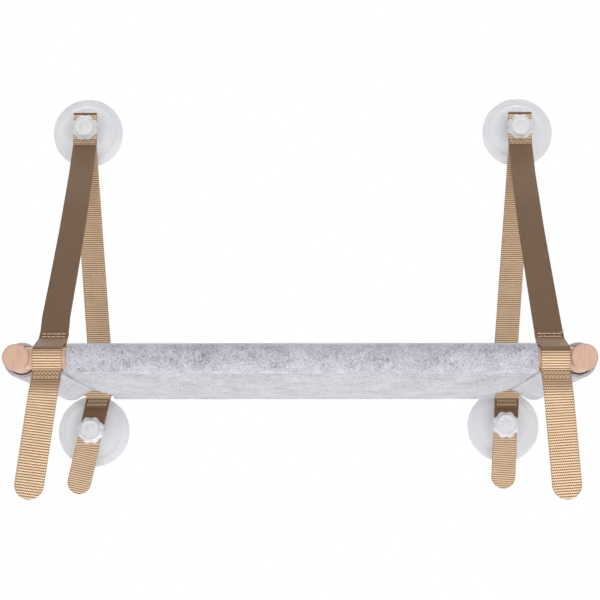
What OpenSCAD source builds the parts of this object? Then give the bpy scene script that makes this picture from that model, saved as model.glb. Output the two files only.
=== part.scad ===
// Window mounted cat perch: a dowel frame with a felt cover, hung on two folded straps from four suction cups.
// The glass is the plane y = 0, the room is at negative y, and the rails' axes lie at z = 0.

/* [Wooden frame] */
// Distance between the axes of the two side rails
frame_span = 487; // [420:1:700]
// Distance between the axes of the front and rear rails
frame_depth = 331; // [260:1:420]
// Distance from the glass to the axis of the rear rail
rail_to_glass = 20; // [19:0.5:24]
// Diameter of the side rails
side_rail_d = 23; // [21:0.5:26]
// Diameter of the front and rear rails
long_rail_d = 19; // [16:0.5:20]
// How far each side rail runs past the axis of a long rail
rail_overhang = 13; // [12:0.5:14]
// Radius that rounds the ends of the side rails
rail_end_round = 1.6; // [0.5:0.1:3]
// Depth of the socket that takes the end of a long rail
socket_depth = 5.5; // [5:0.1:7]

/* [Frame fasteners] */
// Diameter of the bolts that hold the frame together
bolt_d = 6; // [5:0.5:6]
// Diameter of the bolt heads
bolt_head_d = 12; // [10:0.5:13]
// Thickness of the bolt heads
bolt_head_h = 3.5; // [2.5:0.1:4]
// Length of the bolts under their heads
bolt_length = 30; // [26:1:32]
// Distance across the flats of the hexagon socket in a bolt head
hex_key = 4; // [3:0.5:5]
// Outer diameter of the threaded inserts
insert_d = 9; // [8:0.5:10]
// Length of the threaded inserts
insert_length = 18; // [12:1:20]

/* [Felt cover] */
// Thickness of the felt
felt_t = 3; // [2:0.1:3.5]
// Free space between a long rail and its sleeve
long_sleeve_gap = 0.7; // [0.5:0.1:2]
// Free space between a side rail and its sleeve
side_sleeve_gap = 1.2; // [0.5:0.1:2]
// Distance from the axis of a side rail to the end of a front or rear sleeve
long_sleeve_inset = 41.5; // [40.5:0.5:62]
// Distance from the axis of a long rail to the end of a side sleeve
side_sleeve_start = 20; // [19:0.5:40]
// Distance from the axis of a long rail to the seam of its sleeve
long_seam_reach = 23; // [20:0.5:28]
// Distance from the axis of a side rail to the seam of its sleeve
side_seam_reach = 19.5; // [18:0.5:28]
// Width of the felt flap that is sewn flat past a seam
flap_lap = 5; // [4:0.5:12]
// How far the middle of the bed sags
sag_depth = 19; // [0:0.5:40]
// How flat the sag is from side to side, where 2 is an even curve
sag_flatness = 10; // [2:1:12]

/* [Webbing] */
// Width of the webbing
strap_w = 25.4; // [20:0.1:27]
// Thickness of the webbing
strap_t = 1.5; // [1:0.1:2]
// Distance from the axis of a side rail to the middle of a strap at the rails
strap_inset = 26.5; // [25.5:0.5:43.5]
// Free space between the webbing loop and the rail in it
strap_gap = 0.3; // [0.2:0.05:0.6]
// Distance along the front leg from the rail's axis to where the two layers meet
front_seam_start = 29; // [22:0.5:34]
// Length of the sewn stretch above the front rail
front_seam_length = 12; // [8:0.5:20]
// Distance up the rear strap from the rail's axis to where the two layers meet
rear_seam_start = 22; // [18:0.5:26]
// Length of the sewn stretch above the rear rail
rear_seam_length = 12; // [8:0.5:20]
// Distance from a rail's axis to where the two layers meet below it
lower_seam_start = 13; // [12.5:0.1:15]
// Length of the sewn stretch below a rail
lower_seam_length = 11; // [8:0.5:11.5]
// Slope of the sewn stretch below the front rail, outwards from straight down
front_tail_kick = 30; // [0:1:40]
// Radius of the bend that brings the front tail back to straight down
front_tail_bend_r = 24; // [10:1:40]
// Height of the front tail's tip below the rails
front_tail_drop = 121; // [80:1:200]
// Sideways slope of the left front tail, outwards from straight down
left_front_tail_slope = 7.5; // [0:0.5:10]
// Sideways slope of the right front tail, outwards from straight down
right_front_tail_slope = 4; // [0:0.5:10]
// Sideways slope of the left strap below the rear rail, outwards from straight down
left_rear_tail_slope = 12; // [-12:0.5:12]
// Sideways slope of the right strap below the rear rail, outwards from straight down
right_rear_tail_slope = -3.5; // [-12:0.5:12]
// Length of a rear tail below the axis of its cup
rear_tail_length = 67; // [40:1:120]

/* [Suction cups] */
// Diameter of a suction cup
cup_d = 76; // [66:1:80]
// Distance from the glass to the face that clamps the webbing
cup_h = 24; // [23:0.5:28]
// Thickness of the cup at its rim
cup_rim_t = 1.2; // [0.8:0.1:2]
// Depth of the hollow that the cup keeps on the glass
cup_hollow = 2.6; // [1:0.1:3.5]
// Diameter of the neck behind the webbing
cup_neck_d = 22; // [18:0.5:26]
// Diameter of the stud
stud_d = 8; // [6:0.5:10]
// Length of the stud past the clamping face
stud_length = 7.6; // [6:0.1:7.8]
// How far the upper cups' axes lie outwards from the straps at the rails
upper_cup_outset = 19; // [-12:0.5:33]
// Height of the upper cups' axes above the rails
upper_cup_z = 281; // [200:1:400]
// How far the folded strap stands above the axis of an upper cup
fold_reach = 16; // [14:0.5:20]
// Height of the left lower cup's axis below the rails
left_cup_drop = 46.5; // [41:0.5:70]
// Height of the right lower cup's axis below the rails
right_cup_drop = 41; // [41:0.5:70]

/* [Finger nuts] */
// Diameter of a nut over its lobes
nut_d = 28; // [24:0.5:30]
// Height of a nut
nut_h = 8.5; // [8:0.1:12]
// Number of lobes
nut_lobes = 8; // [6:1:10]
// Diameter of the dish in the front of a nut
nut_dish_d = 19; // [14:0.5:20]
// Depth of the dish
nut_dish_depth = 1.1; // [0.5:0.1:1.2]
// Depth of the blind hole for the stud
nut_hole_depth = 6.6; // [6.4:0.1:6.8]

/* [Hidden] */
$fn = 64;

// Side numbers: the left is at negative x
left = -1;
right = 1;

// Overrun of every cut, and the clearances between pieces
cut = 1;
wood_fit = 0.1;
thread_fit = 0.1;
insert_fit = 0.05;
clamp_fit = 0.1;
bend_overlap = 1;
tip_fit = 0.05;
blend_fit = 0.4;
layer_gap = 0.2;
fold_gap = 0.35;
stud_hole_fit = 0.4;
nut_fit = 0.1;

// Places of the rails in the side view, as [y, z]
rear_axis = [-rail_to_glass, 0];
front_axis = [-rail_to_glass - frame_depth, 0];
side_rail_x = frame_span / 2;
strap_x = side_rail_x - strap_inset;
upper_cup_x = strap_x + upper_cup_outset;
long_sleeve_length = 2 * (side_rail_x - long_sleeve_inset);
bolt_seat_depth = bolt_head_h + wood_fit * 5;
socket_floor_x = side_rail_x - side_rail_d / 2 + socket_depth;
long_rail_length = 2 * (socket_floor_x - wood_fit);

// Webbing in the side view: the middle line of a loop, and how far a layer's middle lies from the seam's middle
loop_r = long_rail_d / 2 + strap_gap + strap_t / 2;
layer_offset = (strap_t + layer_gap) / 2;

// Middle lines of the two layers that a stud holds, as y
inner_layer_y = -(cup_h + clamp_fit + strap_t / 2);
outer_layer_y = inner_layer_y - strap_t - layer_gap;

// The fold reaches from its top, above the stud, to the bend where the front leg sets off
fold_top_z = upper_cup_z + fold_reach;
nut_clear = strap_w * 0.19;
fold_bottom_z = upper_cup_z - nut_d / 2 - nut_clear;
leg_bend = [outer_layer_y, fold_bottom_z];
rear_bend = [inner_layer_y, fold_bottom_z];

// The rear strap stands straight again from here down to its tail
lower_bend = [inner_layer_y, -2 * lower_seam_start];
rear_hinge_below_cup = nut_d / 2 + strap_t;

// Directions from the rails' axes along the seams, in degrees from +y towards +z
front_up = aim(front_axis, leg_bend, 1);
front_down = 270 - front_tail_kick;
rear_up = aim(rear_axis, rear_bend, -1);
rear_down = 360 + aim(rear_axis, lower_bend, 1);

// Distances from a rail's axis along those directions
front_seam_end = front_seam_start + front_seam_length;
rear_seam_end = rear_seam_start + rear_seam_length;
lower_seam_end = lower_seam_start + lower_seam_length;
tail_pivot_gap = strap_t / 2 + fold_gap;
front_pivot_reach = lower_seam_end + tail_pivot_gap;
front_pivot = along(front_axis, front_down, front_pivot_reach) + across(front_down, -1);

// Felt in the side view of a rail
panel_x = side_rail_x - side_seam_reach - flap_lap;
panel_front_y = front_axis[0] + long_seam_reach + flap_lap;
panel_rear_y = rear_axis[0] - long_seam_reach - flap_lap;
panel_steps_x = 24;
panel_steps_y = 12;

// Cup outline between its ring and its neck
cup_r = cup_d / 2;
cup_ring_shares = [0.83, 0.81, 0.78, 0.76];
cup_ring_h = cup_rim_t * 2.8;
cup_slope_h = cup_rim_t * 2.2;
cup_flare_share = 0.66;
cup_hollow_shares = [[0, 1], [0.3, 0.93], [0.55, 0.7], [0.78, 0.35], [0.93, 0]];
flare_steps = 10;

// Nut lobes as shares of the nut's radius, and the raised petals in its dish as shares of the dish's radius
lobe_share = 0.27;
petal_share = 0.25;
petal_core_share = 0.62;

function unit(a) = [cos(a), sin(a)];
function normal(a) = [-sin(a), cos(a)];
function along(p, a, l) = p + l * unit(a);
function across(a, s) = s * layer_offset * normal(a);
// Direction from p so that a layer on side s of it runs through q
function aim(p, q, s) = atan2(q[1] - p[1], q[0] - p[0]) - s * asin(layer_offset / norm(q - p));
// Angle between a seam's direction and the point where its layer touches the loop
function touch(l) = acos(loop_r / norm([l, layer_offset])) + atan2(layer_offset, l);
function mix(a, b, share) = a + (b - a) * share;

// Draws a side view, whose plane is [y, z], and gives it width along x
module from_side(width, x = 0) {
    translate([x, 0, 0])
        rotate([90, 0, 90])
            linear_extrude(height = width, center = true)
                children();
}

// Draws a front view, whose plane is [x, z], and gives it the whole depth of the perch
module from_front() {
    depth = 2 * (frame_depth + rail_to_glass + cup_d);
    rotate([90, 0, 0])
        linear_extrude(height = depth, center = true)
            children();
}

// A straight stretch of one layer between two points
module layer(p, q, t = strap_t) {
    length = norm(q - p);
    translate(p)
        rotate(atan2(q[1] - p[1], q[0] - p[0]))
            translate([0, -t / 2])
                square([length, t]);
}

// Fills the corner where two stretches meet
module corner(p, t = strap_t) {
    translate(p)
        circle(d = t);
}

// A layer bent round a centre from angle a0 to angle a1, with a little more at both ends to join it to its neighbours
module bend(centre, r, a0, a1, t = strap_t) {
    steps = ceil((a1 - a0) / 45);
    wedge_r = 2 * (r + t);
    start = a0 - bend_overlap;
    end = a1 + bend_overlap;
    translate(centre)
        intersection() {
            difference() {
                circle(r = r + t / 2);
                circle(r = r - t / 2);
            }
            polygon([[0, 0], for (i = [0:steps]) wedge_r * unit(mix(start, end, i / steps))]);
        }
}

// One layer of a loop: it comes along the seam at angle a_in, round the rail, and leaves along the seam at a_out
module loop_layer(axis, a_in, l_in, end_in, s_in, a_out, l_out, end_out, s_out, a0, a1) {
    meet_in = along(axis, a_in, l_in) + across(a_in, s_in);
    meet_out = along(axis, a_out, l_out) + across(a_out, s_out);
    touch_in = along(axis, a_in + s_in * touch(l_in), loop_r);
    touch_out = along(axis, a_out + s_out * touch(l_out), loop_r);
    layer(meet_in, along(axis, a_in, end_in) + across(a_in, s_in));
    layer(touch_in, meet_in);
    corner(meet_in);
    bend(axis, loop_r, a0, a1);
    layer(touch_out, meet_out);
    corner(meet_out);
    layer(meet_out, along(axis, a_out, end_out) + across(a_out, s_out));
}

// A flat upright layer whose middle lies at a depth y, drawn as it looks from the front
module upright(y, t = strap_t) {
    translate([0, y, 0])
        rotate([90, 0, 0])
            linear_extrude(height = t, center = true)
                children();
}

// Front outline of a strap whose middle goes from [x0, z0] to [x1, z1]
module slant_outline(p, q) {
    half = [strap_w / 2, 0];
    polygon([p - half, p + half, q + half, q - half]);
}

// Upright tail at a depth y that slopes by an angle and ends in a half round tip
module tail(y, top, slope, side, tip_z) {
    half = strap_w / 2 * cos(slope);
    tip_r = half - tip_fit;
    lean = side * tan(slope);
    centre = [top[0] - lean * (tip_z + tip_r - top[1]), tip_z + tip_r];
    reach = half * [cos(slope), side * sin(slope)];
    upright(y)
        polygon([top - [strap_w / 2, 0], top + [strap_w / 2, 0], centre + reach, centre - reach]);
    upright(y)
        translate(centre)
            circle(r = tip_r);
}

function front_tail_slope(side) = side == left ? left_front_tail_slope : right_front_tail_slope;
function rear_tail_slope(side) = side == left ? left_rear_tail_slope : right_rear_tail_slope;
function cup_drop(side) = side == left ? left_cup_drop : right_cup_drop;
function rear_slant_x(side, z) = side * (strap_x + tan(rear_tail_slope(side)) * (-lower_seam_start - z));
function lower_cup(side) = [rear_slant_x(side, -cup_drop(side)), -cup_drop(side)];
function upper_cup(side) = [side * upper_cup_x, upper_cup_z];

module side_rail(side) {
    length = frame_depth + 2 * rail_overhang;
    r = side_rail_d / 2;
    translate([side * side_rail_x, 0, 0])
        difference() {
            translate([0, rear_axis[0] + rail_overhang, 0])
                rotate([90, 0, 0])
                    rounded_dowel(r, length, rail_end_round);
            for (axis = [front_axis, rear_axis])
                translate([0, axis[0], 0])
                    rotate([0, -side * 90, 0]) {
                        translate([0, 0, r - socket_depth])
                            cylinder(d = long_rail_d + 2 * wood_fit, h = socket_depth + cut);
                        translate([0, 0, -r - cut])
                            cylinder(d = bolt_d + 4 * wood_fit, h = side_rail_d + cut);
                        translate([0, 0, -r - cut])
                            cylinder(d = bolt_head_d + 6 * wood_fit, h = bolt_seat_depth + cut);
                    }
        }
}

module rounded_dowel(r, length, round_r) {
    rotate_extrude()
        polygon([
            [0, 0],
            for (a = [-90:15:0]) [r - round_r + round_r * cos(a), round_r + round_r * sin(a)],
            for (a = [0:15:90]) [r - round_r + round_r * cos(a), length - round_r + round_r * sin(a)],
            [0, length]
        ]);
}

module long_rail(axis) {
    half = long_rail_length / 2;
    hole_depth = insert_length + 3 * thread_fit;
    translate([0, axis[0], 0])
        rotate([0, 90, 0])
            difference() {
                cylinder(d = long_rail_d, h = long_rail_length, center = true);
                for (side = [left, right])
                    scale([1, 1, side]) {
                        translate([0, 0, half - hole_depth])
                            cylinder(d = insert_d + 2 * insert_fit, h = hole_depth + cut);
                        translate([0, 0, half - bolt_length])
                            cylinder(d = bolt_d + 4 * wood_fit, h = bolt_length);
                    }
            }
}

// Puts its children at the four corners of the frame, with +z towards the side rail's outer face
module at_frame_corners() {
    for (side = [left, right], axis = [front_axis, rear_axis])
        translate([side * side_rail_x, axis[0], 0])
            rotate([0, side * 90, 0])
                children();
}

module threaded_inserts() {
    top = socket_floor_x - side_rail_x - wood_fit;
    at_frame_corners()
        translate([0, 0, top - insert_length])
            difference() {
                cylinder(d = insert_d, h = insert_length);
                translate([0, 0, -cut])
                    cylinder(d = bolt_d + 2 * thread_fit, h = insert_length + 2 * cut);
            }
}

module frame_bolts() {
    seat = side_rail_d / 2 - bolt_seat_depth;
    at_frame_corners()
        difference() {
            translate([0, 0, seat])
                union() {
                    cylinder(d = bolt_head_d, h = bolt_head_h);
                    translate([0, 0, -bolt_length])
                        cylinder(d = bolt_d, h = bolt_length);
                }
            translate([0, 0, seat + bolt_head_h * 0.3])
                cylinder(d = hex_key / cos(30), h = bolt_head_h, $fn = 6);
        }
}

// Sleeve along z with its rail's axis at the origin and the bed on the side of positive x
module sleeve(rail_d, gap, seam, length) {
    r = rail_d / 2 + gap;
    outer_r = r + felt_t;
    top = [seam, 0];
    mid = [seam, -felt_t];
    low = [seam, -2 * felt_t];
    panel_edge = seam + flap_lap;
    difference() {
        union() {
            linear_extrude(height = length, center = true)
                circle(r = outer_r);
            linear_extrude(height = length, center = true)
                polygon([tangent(outer_r, top, 1), top, [panel_edge, 0], [panel_edge, low[1]], low,
                    tangent(outer_r, low, -1), [0, 0]]);
        }
        linear_extrude(height = length + 2 * cut, center = true)
            circle(r = r);
        linear_extrude(height = length + 2 * cut, center = true)
            polygon([tangent(r, mid, 1), mid, tangent(r, mid, -1), [0, 0]]);
    }
}

// Point near where a line from p touches a circle about the origin, a little inside it so that the two cross
function tangent(r, p, s) = (r - blend_fit) * unit(atan2(p[1], p[0]) + s * acos((r - blend_fit) / norm(p)));

function bed_top(x, y) =
    let (mid = (panel_front_y + panel_rear_y) / 2, half = (panel_rear_y - panel_front_y) / 2)
    -sag_depth * (1 - pow(abs(x) / panel_x, sag_flatness)) * (1 - pow((y - mid) / half, 2));

module felt_bed() {
    nx = panel_steps_x;
    ny = panel_steps_y;
    row = ny + 1;
    count = (nx + 1) * row;
    top = [
        for (i = [0:nx], j = [0:ny])
            let (x = mix(-panel_x, panel_x, i / nx), y = mix(panel_front_y, panel_rear_y, j / ny))
            [x, y, bed_top(x, y)]
    ];
    low = [for (p = top) p - [0, 0, felt_t]];
    faces = [
        for (i = [0:nx - 1], j = [0:ny - 1])
            let (a = i * row + j, b = a + row)
            each [[a, a + 1, b + 1], [a, b + 1, b], [a + count, b + 1 + count, a + 1 + count],
                [a + count, b + count, b + 1 + count]],
        for (i = [0:nx - 1])
            let (a = i * row, b = a + row, c = a + ny, d = b + ny)
            each [[a, b, b + count], [a, b + count, a + count], [c, c + count, d + count], [c, d + count, d]],
        for (j = [0:ny - 1])
            let (a = j, b = nx * row + j)
            each [[a, a + count, a + 1 + count], [a, a + 1 + count, a + 1],
                [b, b + 1, b + 1 + count], [b, b + 1 + count, b + count]]
    ];
    polyhedron(points = concat(top, low), faces = faces);
}

// Front sleeve, or the rear one with its bed side turned to the front
module felt_long_sleeve(axis, turned) {
    translate([0, axis[0], 0])
        rotate([90, 0, 90])
            mirror([turned, 0, 0])
                sleeve(long_rail_d, long_sleeve_gap, long_seam_reach, long_sleeve_length);
}

module felt_side_sleeve(side) {
    middle_y = (front_axis[0] + rear_axis[0]) / 2;
    translate([side * side_rail_x, middle_y, 0])
        rotate([90, 0, 0])
            mirror([side == right ? 1 : 0, 0, 0])
                sleeve(side_rail_d, side_sleeve_gap, side_seam_reach, frame_depth - 2 * side_sleeve_start);
}

// Suction cup with its neck and stud, its axis along +z and the glass at z = 0
module cup() {
    neck_r = cup_neck_d / 2;
    flare_h = cup_h * cup_flare_share;
    inner_r = cup_r * cup_ring_shares[3];
    rotate_extrude()
        polygon([
            for (p = cup_hollow_shares) [p[0] * cup_r, p[1] * cup_hollow],
            [cup_r, 0],
            [cup_r, cup_rim_t],
            [cup_r * cup_ring_shares[0], cup_slope_h],
            [cup_r * cup_ring_shares[1], cup_ring_h],
            [cup_r * cup_ring_shares[2], cup_ring_h],
            for (i = [0:flare_steps])
                let (a = 90 * i / flare_steps)
                [mix(inner_r, neck_r, sin(a)), mix(flare_h, cup_slope_h, cos(a))],
            [neck_r, cup_h],
            [stud_d / 2, cup_h],
            [stud_d / 2, cup_h + stud_length],
            [0, cup_h + stud_length]
        ]);
}

module placed_cup(place) {
    translate([place[0], 0, place[1]])
        rotate([90, 0, 0])
            cup();
}

module lobed(r, share, core_share) {
    lobe_r = r * share;
    circle(r = r * core_share);
    for (i = [0:nut_lobes - 1])
        translate((r - lobe_r) * unit((i + 0.5) * 360 / nut_lobes))
            circle(r = lobe_r);
}

// Finger nut with its back at z = 0 and its front dish at the top
module nut() {
    r = nut_d / 2;
    edge = nut_h * 0.28;
    difference() {
        intersection() {
            linear_extrude(height = nut_h)
                lobed(r, lobe_share, 1 - lobe_share);
            rotate_extrude()
                polygon([
                    [0, 0],
                    [r + cut, 0],
                    [r + cut, nut_h - edge],
                    for (a = [0:15:90]) [mix(r - edge, r, cos(a)), mix(nut_h - edge, nut_h, sin(a))],
                    [0, nut_h]
                ]);
        }
        translate([0, 0, nut_h - nut_dish_depth])
            linear_extrude(height = nut_dish_depth + cut)
                difference() {
                    circle(d = nut_dish_d);
                    lobed(nut_dish_d / 2 * 0.9, petal_share, petal_core_share);
                }
        translate([0, 0, -cut])
            cylinder(d = stud_d + 2 * thread_fit, h = nut_hole_depth + cut);
    }
}

module placed_nut(place, layer_y) {
    translate([place[0], layer_y - strap_t / 2 - nut_fit, place[1]])
        rotate([90, 0, 0])
            nut();
}

module stud_hole(place) {
    translate([place[0], 0, place[1]])
        rotate([90, 0, 0])
            cylinder(d = stud_d + 2 * stud_hole_fit, h = 2 * cup_h);
}

// Both layers at the upper cup and the fold over them
module strap_fold(side) {
    middle_y = (inner_layer_y + outer_layer_y) / 2;
    round_z = fold_top_z - layer_offset - strap_t / 2;
    difference() {
        from_side(strap_w, side * upper_cup_x) {
            layer([inner_layer_y, fold_bottom_z], [inner_layer_y, round_z]);
            layer([outer_layer_y, fold_bottom_z], [outer_layer_y, round_z]);
            bend([middle_y, round_z], layer_offset, 0, 180);
        }
        stud_hole(upper_cup(side));
    }
}

// The long vertical strap: from the fold, behind the rear rail, to just above the free tail
module rear_strap(side) {
    seam_top = along(rear_axis, rear_up, rear_seam_end) + across(rear_up, -1);
    lower_z = -cup_drop(side) - rear_hinge_below_cup + tail_pivot_gap;
    meet_z = -lower_seam_start;
    start_a = rear_down + touch(lower_seam_start);
    end_a = rear_up + 360 - touch(rear_seam_start);
    difference() {
        union() {
            intersection() {
                from_side(frame_span)
                    layer(seam_top, rear_bend - [0, fold_gap]);
                from_front()
                    slant_outline([side * strap_x, seam_top[1] - cut], [side * upper_cup_x, fold_bottom_z]);
            }
            intersection() {
                from_side(strap_w, side * strap_x)
                    loop_layer(rear_axis, rear_up, rear_seam_start, rear_seam_end, -1,
                        rear_down, lower_seam_start, lower_seam_start + strap_t, 1, start_a, end_a);
                from_front()
                    translate([side * strap_x - strap_w / 2, meet_z - strap_t / 4])
                        square([strap_w, rear_seam_end + lower_seam_end]);
            }
            intersection() {
                from_side(frame_span) {
                    layer(along(rear_axis, rear_down, lower_seam_start - strap_t) + across(rear_down, 1), lower_bend);
                    corner(lower_bend);
                    layer(lower_bend, [inner_layer_y, lower_z]);
                }
                from_front()
                    slant_outline([rear_slant_x(side, meet_z), meet_z], [rear_slant_x(side, lower_z), lower_z]);
            }
        }
        stud_hole(lower_cup(side));
    }
}

module rear_loop_patch(side) {
    start_a = rear_up + touch(rear_seam_start);
    end_a = rear_down - touch(lower_seam_start);
    from_side(strap_w, side * strap_x)
        loop_layer(rear_axis, rear_up, rear_seam_start, rear_seam_end, 1,
            rear_down, lower_seam_start, lower_seam_end, -1, start_a, end_a);
}

module rear_tail(side) {
    hinge_z = -cup_drop(side) - rear_hinge_below_cup;
    tip_z = -cup_drop(side) - rear_tail_length;
    top_z = hinge_z + strap_t / 2;
    tail(inner_layer_y, [rear_slant_x(side, top_z), top_z], rear_tail_slope(side), side, tip_z);
}

module front_leg(side) {
    low = along(front_axis, front_up, front_seam_end + fold_gap) + across(front_up, 1);
    reach = (leg_bend - front_axis) * unit(front_up);
    high = along(front_axis, front_up, reach - strap_t) + across(front_up, 1);
    intersection() {
        from_side(frame_span)
            layer(low, high);
        from_front()
            slant_outline([side * strap_x, low[1] - strap_t], [side * upper_cup_x, high[1] + strap_t]);
    }
}

module front_loop(side) {
    start_a = front_up + touch(front_seam_start);
    end_a = front_down - touch(lower_seam_start);
    from_side(strap_w, side * strap_x)
        loop_layer(front_axis, front_up, front_seam_start, front_seam_end, 1,
            front_down, lower_seam_start, lower_seam_end, -1, start_a, end_a);
}

module front_loop_patch(side) {
    start_a = front_down + touch(lower_seam_start);
    end_a = front_up + 360 - touch(front_seam_start);
    from_side(strap_w, side * strap_x)
        loop_layer(front_axis, front_up, front_seam_start, front_seam_end, -1,
            front_down, lower_seam_start, lower_seam_end, 1, start_a, end_a);
}

module front_tail(side) {
    centre = front_pivot + front_tail_bend_r * normal(front_down);
    foot = centre + [-front_tail_bend_r, 0];
    slope = front_tail_slope(side);
    foot_x = side * (strap_x + tan(slope) * (front_pivot[1] - foot[1]));
    lead = asin(strap_t / 2 / front_tail_bend_r) - bend_overlap;
    intersection() {
        from_side(frame_span)
            bend(centre, front_tail_bend_r, 180 - front_tail_kick - lead, 180);
        from_front()
            slant_outline([side * strap_x, front_pivot[1] + strap_t], [foot_x, foot[1]]);
    }
    tail(foot[0], [foot_x, foot[1]], slope, side, -front_tail_drop);
}

wood = [0.86, 0.68, 0.55];
felt_grey = [0.74, 0.76, 0.8];
webbing_tan = [0.76, 0.62, 0.46];
clear_plastic = [0.86, 0.88, 0.92];
nut_plastic = [0.93, 0.93, 0.94];

color(wood) side_rail(left);  // left_side_rail
color(wood) side_rail(right);  // right_side_rail
color(wood) long_rail(front_axis);  // front_rail
color(wood) long_rail(rear_axis);  // rear_rail
color("goldenrod") threaded_inserts();
color("silver") frame_bolts();
color(felt_grey) felt_bed();
color(felt_grey) felt_long_sleeve(front_axis, 0);  // felt_front_sleeve
color(felt_grey) felt_long_sleeve(rear_axis, 1);  // felt_rear_sleeve
color(felt_grey) felt_side_sleeve(left);  // felt_left_sleeve
color(felt_grey) felt_side_sleeve(right);  // felt_right_sleeve
color(clear_plastic) placed_cup(upper_cup(left));  // upper_left_cup
color(clear_plastic) placed_cup(upper_cup(right));  // upper_right_cup
color(clear_plastic) placed_cup(lower_cup(left));  // lower_left_cup
color(clear_plastic) placed_cup(lower_cup(right));  // lower_right_cup
color(nut_plastic) placed_nut(upper_cup(left), outer_layer_y);  // upper_left_nut
color(nut_plastic) placed_nut(upper_cup(right), outer_layer_y);  // upper_right_nut
color(nut_plastic) placed_nut(lower_cup(left), inner_layer_y);  // lower_left_nut
color(nut_plastic) placed_nut(lower_cup(right), inner_layer_y);  // lower_right_nut
color(webbing_tan) strap_fold(left);  // left_strap_fold
color(webbing_tan) strap_fold(right);  // right_strap_fold
color(webbing_tan) rear_strap(left);  // left_rear_strap
color(webbing_tan) rear_strap(right);  // right_rear_strap
color(webbing_tan) rear_loop_patch(left);  // left_rear_loop_patch
color(webbing_tan) rear_loop_patch(right);  // right_rear_loop_patch
color(webbing_tan) rear_tail(left);  // left_rear_tail
color(webbing_tan) rear_tail(right);  // right_rear_tail
color(webbing_tan) front_leg(left);  // left_front_leg
color(webbing_tan) front_leg(right);  // right_front_leg
color(webbing_tan) front_loop(left);  // left_front_loop
color(webbing_tan) front_loop(right);  // right_front_loop
color(webbing_tan) front_loop_patch(left);  // left_front_loop_patch
color(webbing_tan) front_loop_patch(right);  // right_front_loop_patch
color(webbing_tan) front_tail(left);  // left_front_tail
color(webbing_tan) front_tail(right);  // right_front_tail
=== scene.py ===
"""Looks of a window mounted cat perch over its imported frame: webbing, felt, beech dowels, suction cups and nuts."""

import math
from bisect import bisect_right
from collections import namedtuple

import bmesh
import bpy
from bpy.props import FloatProperty, FloatVectorProperty, IntProperty, PointerProperty
from bpy.types import Operator, Panel, PropertyGroup
from mathutils import Matrix, Vector, noise


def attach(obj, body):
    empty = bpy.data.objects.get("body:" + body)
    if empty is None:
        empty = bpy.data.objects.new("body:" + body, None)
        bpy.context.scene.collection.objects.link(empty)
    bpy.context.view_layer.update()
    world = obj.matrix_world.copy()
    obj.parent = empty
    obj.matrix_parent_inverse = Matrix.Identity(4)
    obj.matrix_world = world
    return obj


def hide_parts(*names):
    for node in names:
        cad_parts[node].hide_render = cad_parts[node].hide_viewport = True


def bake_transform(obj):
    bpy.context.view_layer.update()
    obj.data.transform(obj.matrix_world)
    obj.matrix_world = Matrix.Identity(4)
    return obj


bl_info = {
    "name": "Window Mounted Cat Perch",
    "version": (1, 0, 0),
    "blender": (4, 5, 0),
    "location": "View3D > Sidebar > Perch",
    "description": "Builds the webbing, felt, wood and suction cups of a cat perch that hangs on a window",
    "category": "Object",
}

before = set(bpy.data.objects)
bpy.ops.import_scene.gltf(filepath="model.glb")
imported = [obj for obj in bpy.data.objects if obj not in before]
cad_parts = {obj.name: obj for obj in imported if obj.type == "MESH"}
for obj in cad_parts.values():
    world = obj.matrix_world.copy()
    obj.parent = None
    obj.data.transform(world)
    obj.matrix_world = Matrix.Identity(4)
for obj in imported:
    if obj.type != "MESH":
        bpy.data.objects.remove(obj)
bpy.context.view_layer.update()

MM = 0.001
SIDES = {"left": -1, "right": 1}
WHITE, BLACK = (1, 1, 1), (0, 0, 0)

# Free space between two layers of webbing, and between webbing and what clamps it
LAYER_GAP = 0.2 * MM
CLAMP_GAP = 0.1 * MM
# Faces across the webbing, and along it for each rib
WEB_COLUMNS, RIB_STEPS = 14, 6
# How much brown shows: on the webbing's smooth brown side, which also stands for painted shade along the top of a
# fold; at the seam of a leg, paler there as a painted sheen; and as painted shade just under the upper nuts
BACK_AND_SHADE_SHARE, LEG_SEAM_SHEEN_SHARE, FOLD_SHADE_SHARE = 0.95, 0.86, 0.6
# The same down a front leg, paler towards the top as painted light: by the second number, over the length of the third
LEG_SHARE, LEG_TOP_LIGHT, LEG_TOP_LIGHT_REACH = 0.98, 0.24, 150 * MM
# Where the brown ends on a front loop, as a direction from the rail in degrees, and how much brown is painted as shade
# at its seam and the top of its tail
WRAP_STARTS = {"left": 142, "right": 153}
SEAM_SHADE = {"left": 0.55, "right": 0.35}
# How far each front leg bows inwards: (share of its length from the top, mm)
LEG_BOWS = {"left": ((0.18, 0.95), (0.5, 1.05), (0.72, 0.3), (0.93, -0.8)),
            "right": ((0.18, 1.5), (0.5, 1.8), (0.72, 1.1), (0.93, 0.35))}
# The rows of a leg's seam, mm from the front rail's axis, and the zigzags below the rails, mm before the webbing's end
LEG_ROWS = (36.3, 31.6)
FRONT_ZIGZAGS, REAR_ZIGZAGS = ((9.5, 6.0), (5.4, 1.9)), ((9.6, 6.2), (5.6, 2.2))
# The loose end of the right front seam's thread: (off the middle, up, out of the webbing), mm
LOOSE_END = ((8.5, 0.4, 0.3), (10.2, -0.5, 0.9), (11.8, -1.8, 1.3), (13.0, -3.2, 1.5), (14.2, -4.2, 1.4))

# The hollow under a cup: (share of its radius, share of the hollow's depth), and the rings moulded on its flare
CUP_HOLLOW = ((0, 1), (0.3, 0.93), (0.55, 0.7), (0.78, 0.35), (0.93, 0))
CUP_RINGS, CUP_RING_WIDTH, CUP_RING_LIFT = (0.73, 0.62, 0.54), 0.018, 0.22 * MM
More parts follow.
